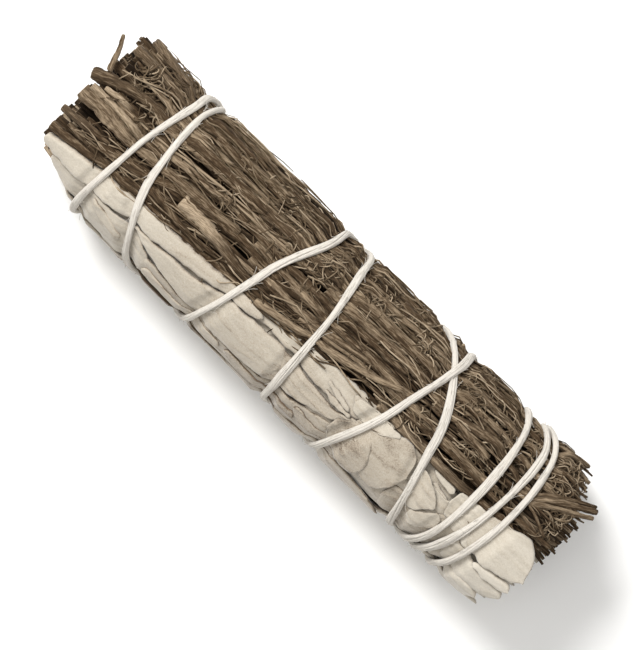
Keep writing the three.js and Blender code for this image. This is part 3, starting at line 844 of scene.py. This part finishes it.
def sage_finish():
    """A pale velvety leaf: fine pebbled surface, soft sheen, and painted shade, dark brown, in
    folds and under rolled edges.
    """
    finish, nodes, links, fibre = fibre_finish("dry_sage_leaf", 0.5, 0.9, 0.15)
    shader = nodes["Principled BSDF"]
    shader.inputs["Sheen Weight"].default_value = 0.35
    shader.inputs["Sheen Roughness"].default_value = 0.5
    uneven_roughness(nodes, links, fibre["Grooves"], 0.82, 0.98)
    # The darkest stop is painted shade, for rolled-under edges and folds.
    ramp = colour_ramp(
        nodes,
        [
            (0.1, (0.09, 0.06, 0.035)),
            (0.32, (0.35, 0.3, 0.235)),
            (0.5, (0.43, 0.385, 0.315)),
            (0.85, (0.57, 0.525, 0.45)),
        ],
    )
    links.new(ramp.outputs["Color"], shader.inputs["Base Color"])
    where = nodes.new("ShaderNodeTexCoord")
    pebbles = nodes.new("ShaderNodeTexVoronoi")
    pebbles.feature = "SMOOTH_F1"
    pebbles.inputs["Scale"].default_value = 2600
    links.new(where.outputs["Object"], pebbles.inputs["Vector"])
    down = nodes.new("ShaderNodeTexNoise")
    down.inputs["Scale"].default_value = 5200
    down.inputs["Detail"].default_value = 3
    links.new(where.outputs["Object"], down.inputs["Vector"])
    shade = scaled_sum(nodes, links, attribute(nodes, "tone_and_shade").outputs["Fac"], 0.06, 0.125)
    speckled = scaled_sum(nodes, links, down.outputs["Fac"], 0.45, shade)
    blotched = scaled_sum(nodes, links, fibre["Grooves"], 0.3, speckled)
    links.new(blotched, ramp.inputs["Fac"])
    pebbled = scaled_sum(nodes, links, pebbles.outputs["Distance"], 1.0, down.outputs["Fac"])
    bumps(nodes, links, pebbled, 0.8, 0.06 * MM)
    return finish


SAGE = sage_finish()


def long_leaves(rng, count, i, how_many, starts, lengths, widths, depths, **looks):
    """Leaves laid over one another down a sprig, each rising towards its tip."""
    leaves = []
    for k in range(how_many):
        start = starts[0] + (starts[1] - starts[0]) * (k + rng.uniform(0, 0.6)) / how_many
        end = min(start + rng.uniform(*lengths), TIP_END - rng.uniform(1.2, 3.5))
        half = rng.uniform(*widths) / 2
        upper, lower = [], []
        drift, lean = rng.uniform(-0.35, 0.35), rng.normal(0, 0.2)
        for s, share in ((0, 0.25), (0.25, 0.8), (0.6, 1.0), (0.87, 0.62), (1, 0.06)):
            x = start + (end - start) * s
            angle = across_sprig("sage", count, i, x, drift + lean * s)
            w = np.interp(angle, turns_round, skin_length)
            upper.append((x, w - half * share * rng.uniform(0.85, 1.1)))
            lower.append((x, w + half * share * rng.uniform(0.85, 1.1)))
        depth = rng.uniform(*depths)
        leaves.append(leaf_mesh(upper, lower, depth, rng, **looks))
    return leaves


for i in range(SAGE_INNER):
    rng = np.random.default_rng(400 + i)
    leaves = long_leaves(
        rng, SAGE_INNER, i, 9, (-49, 22), (30, 44), (7, 11), (6.4, 9.6),
        soft=0, fineness=1.3, rise=0.5,
    )
    stems = spread_stems(
        rng, "sage", SAGE_INNER, i, 4, (-51, -48), (-30, 20), (0.8, 1.4), (6.5, 8.5), 0
    )
    fill_cut_end(rng, "sage", SAGE_INNER, i, stems, 200, (0.35, 1.1), (6.2, 11), bare=0.8)
    leaves += long_leaves(
        rng, SAGE_INNER, i, 13, (30, 38), (12, 20), (4, 7.5), (6.3, 11),
        soft=0, fineness=1.0, rise=0.4, crease=0.2, crown=0.6,
    )
    put_together(
        f"inner_leafy_sprig_{i + 1}",
        [stems_mesh(f"inner_sage_stems_{i + 1}", stems, WOODY_RING), *leaves],
        [BARK] + [SAGE] * len(leaves),
        f"sage_inner_sprig_{i + 1}",
    )

# The outer sage: broad pale leaves pressed flat round the bunch in layers, with rolled and
# folded edges. Those that show from above follow the photograph, as their dark-side and
# far-side edges in (X, Y) points seen from there, with the sprig that each grows on.
SEEN_LEAVES = [
    # sprig, edge nearer the dark herb, edge further from it, depth, rolls
    (1, [(-50.3, -8.9), (-44.3, -7.3), (-38.4, -6.6), (-32, -5.9), (-18.6, -5.0), (-6, -4.2)],
        [(-49.8, -10.8), (-44.3, -10.7), (-38.4, -10.2), (-31, -9.2), (-18.6, -7.8), (-6, -6)],
        0.1, (0.7, 0.8)),
    (2, [(-47.6, -10.7), (-42, -10.6), (-37, -10.2), (-30, -10.0), (-24, -11.6)],
        [(-46.6, -12.5), (-42, -13.2), (-37, -13.9), (-31, -14.2), (-24, -13.9)],
        0.6, (0.2, 0.5)),
    (2, [(-38, -10.4), (-34, -11.0), (-30.5, -12.1)],
        [(-38, -11.2), (-34.5, -12.4), (-31, -13.0)], 0.25, (0.3, 0.35)),
    (2, [(-30.6, -9.2), (-24.7, -8.6), (-18.6, -8.3), (-13, -7.1), (-4, -6.3), (0.8, -6.1)],
        [(-30.4, -9.5), (-24.7, -10.9), (-18, -12.0), (-12, -12.5), (-4, -12.4), (1.5, -11.8)],
        0.2, (0.4, 0.35)),
    (2, [(-1, -6.4), (3, -6.8), (8, -7.3), (11.5, -7.5), (16.2, -6.0)],
        [(-1, -12.2), (3, -11.6), (8, -10.3), (11.5, -9.4), (16.6, -7.6)], 0.3, (0.35, 0.35)),
    (2, [(-26, -11.4), (-16, -12.4), (-6, -12.7), (3, -12.0), (10, -10.4), (17, -8.4)],
        [(-26, -13.7), (-16, -14.1), (-6, -14.2), (3, -14.2), (10, -14.2), (18.4, -13.9)],
        0.55, (0.3, 0.6)),
    (1, [(-8, -4.0), (0, -3.1), (8, -2.4), (18, -2.3)],
        [(-8, -5.8), (0, -6.2), (8, -6.9), (18, -6.3)], 0.7, (0.3, 0.3)),
    (1, [(8.0, -4.5), (10.5, -4.8), (13.6, -5.8)],
        [(8.2, -5.2), (10.6, -5.9), (13.4, -6.3)], 0.0, (0.5, 0.5)),
    (1, [(8.4, -5.8), (11.0, -6.1), (14.4, -6.3)],
        [(8.8, -6.6), (11.2, -7.0), (14.2, -6.9)], 0.05, (0.4, 0.4)),
    (1, [(12.4, -3.0), (15, -3.3), (17.6, -5.6)],
        [(12.6, -4.2), (14.6, -5.3), (16.9, -6.9)], 0.2, (0.45, 0.45)),
    (2, [(12.6, -7.9), (16.0, -6.6), (20.6, -6.5)],
        [(13.0, -11.6), (17.0, -12.8), (22.0, -12.9)], 0.0, (0.13, 0.13)),
    (1, [(15.0, -4.4), (20.0, -3.4), (23.9, -2.6), (26.2, -4.0), (27.3, -6.8)],
        [(16.0, -9.4), (20.5, -12.0), (23.9, -12.4), (25.9, -10.8), (27.2, -8.6)],
        0.2, (0.13, 0.16)),
    (1, [(13.0, -3.1), (18.0, -2.8), (22.6, -3.0)],
        [(13.4, -5.4), (17.6, -6.0), (21.6, -4.0)], 0.0, (0.13, 0.13)),
    (1, [(27.5, -4.3), (30, -4.5), (34.2, -6.9)],
        [(28.0, -9.6), (30.4, -10.7), (33.0, -8.4)], 0.1, (0.14, 0.18)),
    (2, [(26, -9.4), (31, -9.8), (35, -7.8), (41, -7.6)],
        [(26, -13.6), (31, -14.1), (35, -14.0), (41, -13.8)], 0.6, (0.2, 0.4)),
    (2, [(30.5, -10.8), (33, -9.0), (35.0, -7.6)],
        [(31.5, -12.3), (34, -11.6), (36.2, -9.8)], 0.25, (0.16, 0.16)),
    (1, [(34.4, -2.5), (37, -2.4), (40.5, -1.9), (45, -1.4)],
        [(34.7, -7.4), (37, -8.4), (40.5, -9.0), (45, -9.2)], 0.3, (0.2, 0.4)),
    (1, [(29.4, -2.9), (32, -3.0), (34.2, -3.2)],
        [(29.6, -3.8), (32, -4.3), (34.0, -4.6)], 1.0, (0.3, 0.3)),
    (1, [(30.6, -4.7), (32.6, -5.0), (34.2, -5.6)],
        [(30.8, -5.5), (32.6, -6.1), (34.0, -6.5)], 1.1, (0.3, 0.3)),
    (1, [(40, -2.0), (44, -1.2), (47.8, -0.4), (50.4, -2.6), (51.5, -6.0)],
        [(40, -8.4), (44, -8.8), (47, -8.5), (49.8, -7.8), (51.6, -7.0)], -0.15, (0.3, 0.7)),
    (2, [(43.6, -9.1), (47, -8.7), (51.0, -8.5)],
        [(43.8, -9.7), (47, -10.3), (50.8, -10.0)], 0.0, (0.6, 0.6)),
    (2, [(38.5, -8.6), (43, -9.6), (47.5, -10.3), (50.8, -10.4)],
        [(38.5, -12.8), (43, -12.8), (47.5, -12.7), (50.4, -12.0)], 0.35, (0.5, 0.4)),
    (2, [(40.8, -12.9), (44, -12.5), (48, -12.8)],
        [(41, -13.9), (44, -14.2), (47.6, -13.8)], 0.1, (0.45, 0.35)),
    (1, [(11, -2.6), (20, -2.5), (26, -2.9), (29, -4.9), (34, -5.4), (37, -3.0), (42, -2.4)],
        [(11, -8.6), (20, -8.6), (26, -8.4), (29, -8.6), (34, -8.8), (37, -8.6), (42, -8.8)],
        0.95, (0.15, 0.15)),
    (2, [(8, -7.8), (20, -8.0), (31, -8.0), (42, -8.2)],
        [(8, -13.7), (20, -13.9), (31, -13.9), (42, -13.6)], 0.85, (0.15, 0.3)),
    (2, [(-25, -12.4), (-17, -12.9), (-8, -12.7)],
        [(-25, -13.3), (-17, -13.8), (-8, -13.6)], 0.2, (0.2, 0.3)),
    (2, [(-7, -12.6), (1, -12.9), (8, -12.3)],
        [(-7, -13.4), (1, -13.9), (8, -13.5)], 0.15, (0.25, 0.2)),
    (2, [(7, -11.2), (12, -11.7), (17, -10.9)],
        [(7, -12.6), (12, -13.5), (17, -13.2)], 0.3, (0.15, 0.25)),
]

for i in range(SAGE_OUTER):
    rng = np.random.default_rng(300 + i)
    beneath = dict(soft=0.42, fineness=1.1, crown=0.2, crease=0.2, tucked=0.8)
    leaves = long_leaves(
        rng, SAGE_OUTER, i, 6, (-50, 20), (26, 40), (9, 12), (2.6, 4.2), **beneath
    )
    leaves += long_leaves(
        rng, SAGE_OUTER, i, 6, (-49, 22), (24, 36), (8, 11), (1.4, 2.1), **beneath
    )
    stems = spread_stems(
        rng, "sage", SAGE_OUTER, i, 2, (-51, -48), (-34, -20), (0.8, 1.3), (2.6, 3.6), 0.4
    )
    fill_cut_end(rng, "sage", SAGE_OUTER, i, stems, 80, (0.3, 0.9), (2.2, 5.8), bare=0.8)
    leaves += long_leaves(
        rng, SAGE_OUTER, i, 9, (30, 38), (12, 20), (4, 8), (1.6, 5.8),
        fineness=1.0, rise=0.3, crease=0.2, crown=0.6,
    )
    if i < 2:
        for number, upper, lower, depth, roll in SEEN_LEAVES:
            if number == i + 1:
                edges = [
                    [(x, float(seen_from_above(y))) for x, y in edge] for edge in (upper, lower)
                ]
                leaves.append(
                    leaf_mesh(*edges, depth, rng, roll=roll, crown=0.04, fineness=0.52)
                )
    else:
        leaves += long_leaves(
            rng, SAGE_OUTER, i, 8, (-49, 26), (18, 34), (6, 10), (0.1, 0.7),
            fineness=0.6, rise=0.25, tucked=1.2, roll=(0.25, 0.25), crown=0.12,
        )
    put_together(
        f"leafy_sprig_{i + 1}",
        [stems_mesh(f"sage_stems_{i + 1}", stems, WOODY_RING), *leaves],
        [BARK] + [SAGE] * len(leaves),
        f"sage_sprig_{i + 1}",
    )

# The string: soft cotton, many loose strands with hardly any twist, wound down the bunch and
# back up over itself, and tied in a small knot low on the sage side.
STRING_WIDE, STRING_HIGH = 1.25, 1.0
OUTER_STRANDS, INNER_STRANDS = 14, 2
STRAND_RADIUS, INNER_RADIUS = 0.21, 0.36
STRING_DEPTH = 0.6
STEPS_A_TURN, KNOT_STEPS = 66, 60


def strands_along(path, outward, widths, rng, loose):
    """The strands of string along a path, flattened against what they are wound round."""
    along = np.gradient(path, axis=0)
    along /= np.linalg.norm(along, axis=1)[:, None]
    sideways = np.cross(along, outward)
    sideways /= np.linalg.norm(sideways, axis=1)[:, None]
    upward = np.cross(sideways, along)
    length = distance_along(path) / MM
    strands = []
    for k in range(OUTER_STRANDS + INNER_STRANDS):
        turn = 2 * math.pi * k / OUTER_STRANDS + length * 0.09
        turn = turn + wander(length / 40, rng, 0.2, 6)
        radius = STRAND_RADIUS
        across = (widths / 2 - STRAND_RADIUS) * np.cos(turn)
        up = (STRING_HIGH / 2 - STRAND_RADIUS) * np.sin(turn)
        if k >= OUTER_STRANDS:
            radius = INNER_RADIUS
            across, up = (widths / 2 - 0.48) * (2 * (k - OUTER_STRANDS) - 1), 0 * turn
        across = across + wander(length / 15, rng, loose, 6)
        points = path + (across[:, None] * sideways + up[:, None] * upward) * MM
        radii = radius * (1 + wander(length / 9, rng, 0.12, 6))
        strands.append((points, radii, rng.normal(0, 0.4), 0.0))
    return strands, sideways, upward


rng = np.random.default_rng(500)
turns = np.linspace(0, TURNS, TURNS * STEPS_A_TURN)
route_angle = KNOT_ANGLE - turns * 2 * math.pi
flat_route = lay(route_x(turns), route_angle, STRING_DEPTH, 0, STRING_HIGH / 2, held=False)
apart = np.linalg.norm(flat_route[:, None] - flat_route[None], axis=2) / MM
earlier = np.subtract.outer(np.arange(len(turns)), np.arange(len(turns))) > STEPS_A_TURN / 2
nearest = np.where(earlier, apart, 99).min(axis=1)
lift = 0.85 * (1 - ease(nearest, 0.7, 1.9))
window = np.hanning(9)
lift = np.convolve(lift, window / window.sum(), mode="same")
route = lay(route_x(turns), route_angle, STRING_DEPTH - lift, 0, STRING_HIGH / 2, held=False)
centre_line = np.stack([route[:, 0], 0 * turns, np.full(len(turns), CENTRE_Z * MM)], axis=-1)
widths = STRING_WIDE * (1 + np.clip(wander(turns * 2.6, rng, 0.17, 9), -0.2, 0.35))
strands, sideways, upward = strands_along(route, route - centre_line, widths, rng, 0.03)

fuzz = []
for _ in range(900):
    at = rng.integers(3, len(turns) - 4)
    lean = rng.uniform(-1, 1)
    start = route[at] + (
        lean * 0.62 * sideways[at] + (0.48 - 0.3 * abs(lean)) * upward[at]
    ) * MM
    way = route[at + 1] - route[at]
    way = way / np.linalg.norm(way) * rng.choice([-1, 1])
    s = np.linspace(0, rng.uniform(0.6, 2.2), 5)[:, None]
    side = lean * sideways[at] * rng.uniform(0.1, 0.6) + upward[at] * rng.uniform(0, 0.25)
    fuzz.append((start + (s * way + s**2 * side * 0.5) * MM, np.full(5, 0.028), 0.5, 0.0))

knot_place = lay(KNOT_X, KNOT_ANGLE, -0.3, held=False)
out = np.array([0, math.cos(KNOT_ANGLE), math.sin(KNOT_ANGLE)])
ahead = np.array([1.0, 0, 0])
beside = np.cross(out, ahead)
t = np.linspace(0, 2 * math.pi, KNOT_STEPS)
trefoil = [np.sin(t) + 2 * np.sin(2 * t), np.cos(t) - 2 * np.cos(2 * t), -np.sin(3 * t)]
knot_path = knot_place + MM * (
    0.5 * trefoil[0][:, None] * ahead
    + 0.42 * trefoil[1][:, None] * beside
    + 0.5 * trefoil[2][:, None] * out
)
knot_strands = strands_along(
    knot_path, np.tile(out, (KNOT_STEPS, 1)) + 0.01, np.full(KNOT_STEPS, 1.1), rng, 0.02
)[0]
ends = []
for way in (-1, 1):
    s = np.linspace(0, 1, 14)
    end_path = lay(
        KNOT_X + way * 4.6 * s,
        KNOT_ANGLE + np.radians(6 * way - 10 * s),
        0.1,
        held=False,
    )
    ends += strands_along(end_path, np.tile(out, (len(s), 1)), 1.1 + 0.7 * s, rng, 0.05)[0]


def cotton_finish():
    """Soft undyed cotton, with painted shade in the grooves between its fibres."""
    finish, nodes, links, fibre = fibre_finish("soft_cotton", 0.8, 9.0, 0.1)
    shader = nodes["Principled BSDF"]
    shader.inputs["Sheen Weight"].default_value = 0.12
    uneven_roughness(nodes, links, fibre["Streaks"], 0.88, 1.0)
    bumps(nodes, links, fibre["Grooves"], 0.8, 0.05 * MM)
    # Painted shade: the cotton is darker where the fibre pattern's bumps sink.
    ramp = colour_ramp(nodes, [(0.3, (0.46, 0.42, 0.36)), (0.6, (0.61, 0.575, 0.52))])
    links.new(fibre["Grooves"], ramp.inputs["Fac"])
    links.new(ramp.outputs["Color"], shader.inputs["Base Color"])
    return finish


COTTON = cotton_finish()
STRAND_RING = ring_outline("strand_ring", 5, 0.04, 7)
put_together(
    "tied_string",
    [
        stems_mesh("strands", strands + knot_strands + ends, STRAND_RING),
        stems_mesh("loose_fibres", fuzz, FIBRE_RING),
    ],
    [COTTON, COTTON],
    "cotton_string",
)

bpy.context.view_layer.update()
